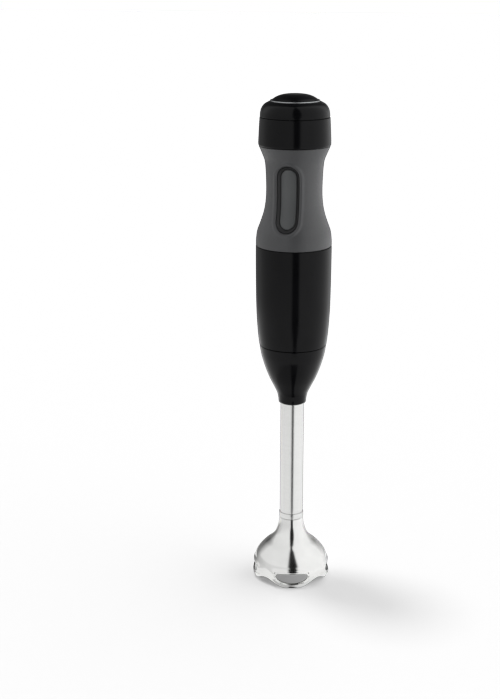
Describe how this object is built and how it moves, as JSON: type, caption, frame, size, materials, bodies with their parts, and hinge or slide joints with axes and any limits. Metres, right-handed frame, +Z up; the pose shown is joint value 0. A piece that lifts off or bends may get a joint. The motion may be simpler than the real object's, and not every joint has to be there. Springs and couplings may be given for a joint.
{
  "type": "immersion blender",
  "caption": "Stick blender with a soft recessed power button, a glossy motor housing, a twist-lock steel arm and a windowed bell guard over a spinning blade.",
  "frame": {"origin": "centre of the base, where the bell guard's feet stand", "axes": "+Z up along the blender's axis, -Y is the front, where the power button is"},
  "size_m": [0.0642, 0.0642, 0.405],
  "materials": {
    "gloss_black_plastic": "polished black ABS",
    "chromed_trim": "satin chrome plating",
    "soft_grey_grip": "fine matte soft-touch elastomer",
    "matte_black_plastic": "moulded glass-filled nylon",
    "brushed_steel_arm": "brushed stainless steel",
    "polished_blade_steel": "ground stainless steel",
    "machine_steel": "zinc plated or spring steel",
    "laminated_iron": "stacked silicon steel",
    "enamelled_copper": "enamelled copper wire",
    "commutator_copper": "turned copper bars",
    "carbon": "pressed graphite",
    "natural_nylon": "natural nylon",
    "bearing_bronze": "sintered bronze",
    "black_rubber": "moulded rubber",
    "circuit_board_green": "coated glass-fibre board",
    "capacitor_yellow": "plastic film capacitor case"
  },
  "bodies": {
    "motor_body": {"top_cap": "gloss_black_plastic", "cap_disc": "gloss_black_plastic", "trim_ring": "chromed_trim", "cap_band": "gloss_black_plastic", "cord_gland": "black_rubber", "cord_clamp": "matte_black_plastic", "clamp_screw_left": "machine_steel", "clamp_screw_right": "machine_steel", "grip_core": "matte_black_plastic", "grip_sleeve": "soft_grey_grip", "button_bezel": "matte_black_plastic", "button_spring_left": "machine_steel", "button_spring_right": "machine_steel", "circuit_board": "circuit_board_green", "low_switch": "matte_black_plastic", "high_switch": "matte_black_plastic", "suppression_capacitor": "capacitor_yellow", "motor_housing": "gloss_black_plastic", "upper_bracket": "matte_black_plastic", "lower_bracket": "matte_black_plastic", "stator_core": "laminated_iron", "field_coil_left": "enamelled_copper", "field_coil_right": "enamelled_copper", "motor_screw_left": "machine_steel", "motor_screw_right": "machine_steel", "upper_bearing": "machine_steel", "lower_bearing": "machine_steel", "brush_holder_front": "natural_nylon", "brush_holder_rear": "natural_nylon", "carbon_brush_front": "carbon", "carbon_brush_rear": "carbon", "brush_spring_front": "machine_steel", "brush_spring_rear": "machine_steel", "bayonet_spigot": "matte_black_plastic", "damper_ring": "black_rubber"},
    "button": {"power_button": "soft_grey_grip", "button_carrier": "natural_nylon"},
    "low_lever": {"low_switch_lever": "machine_steel"},
    "high_lever": {"high_switch_lever": "machine_steel"},
    "armature": {"armature_core": "laminated_iron", "armature_winding": "enamelled_copper", "commutator": "commutator_copper", "motor_shaft": "machine_steel", "cooling_fan": "matte_black_plastic", "motor_coupler": "natural_nylon"},
    "arm": {"bayonet_ring": "matte_black_plastic", "arm_collar": "gloss_black_plastic", "tube_clip": "machine_steel", "arm_tube": "brushed_steel_arm", "joint_sleeve": "brushed_steel_arm", "bell_guard": "brushed_steel_arm", "upper_shaft_bush": "bearing_bronze", "lower_shaft_bush": "bearing_bronze", "shaft_seal": "black_rubber"},
    "drive": {"drive_shaft": "polished_blade_steel", "shaft_coupler": "natural_nylon", "blade_hub": "natural_nylon", "blade": "polished_blade_steel", "blade_nut": "polished_blade_steel"}
  },
  "joints": [
    {"name": "button_press", "type": "slide", "parent": "motor_body", "child": "button", "axis": [0, 1, 0], "range_m": [0, 0.0024], "stiffness_N_per_m": 900, "springref_m": -0.002, "deforming": ["button_spring_left", "button_spring_right"]},
    {"name": "low_lever_turn", "type": "hinge", "parent": "motor_body", "child": "low_lever", "pos_m": [0, -0.0058, 0.3115], "axis": [-1, 0, 0], "range_deg": [0, 11.6]},
    {"name": "high_lever_turn", "type": "hinge", "parent": "motor_body", "child": "high_lever", "pos_m": [0, -0.0058, 0.3335], "axis": [-1, 0, 0], "range_deg": [0, 11.6]},
    {"name": "motor_spin", "type": "hinge", "parent": "motor_body", "child": "armature", "pos_m": [0, 0, 0.25], "axis": [0, 0, 1], "continuous": true},
    {"name": "arm_twist", "type": "hinge", "parent": "motor_body", "child": "arm", "pos_m": [0, 0, 0.19], "axis": [0, 0, 1], "range_deg": [0, 35]},
    {"name": "shaft_spin", "type": "hinge", "parent": "arm", "child": "drive", "pos_m": [0, 0, 0.1], "axis": [0, 0, 1], "continuous": true}
  ],
  "couplings": [
    {"joint": "low_lever_turn", "follows": "button_press", "rad_per_m": 83.3},
    {"joint": "high_lever_turn", "follows": "button_press", "rad_per_m": 83.3},
    {"joint": "shaft_spin", "follows": "motor_spin", "ratio": 1}
  ]
}
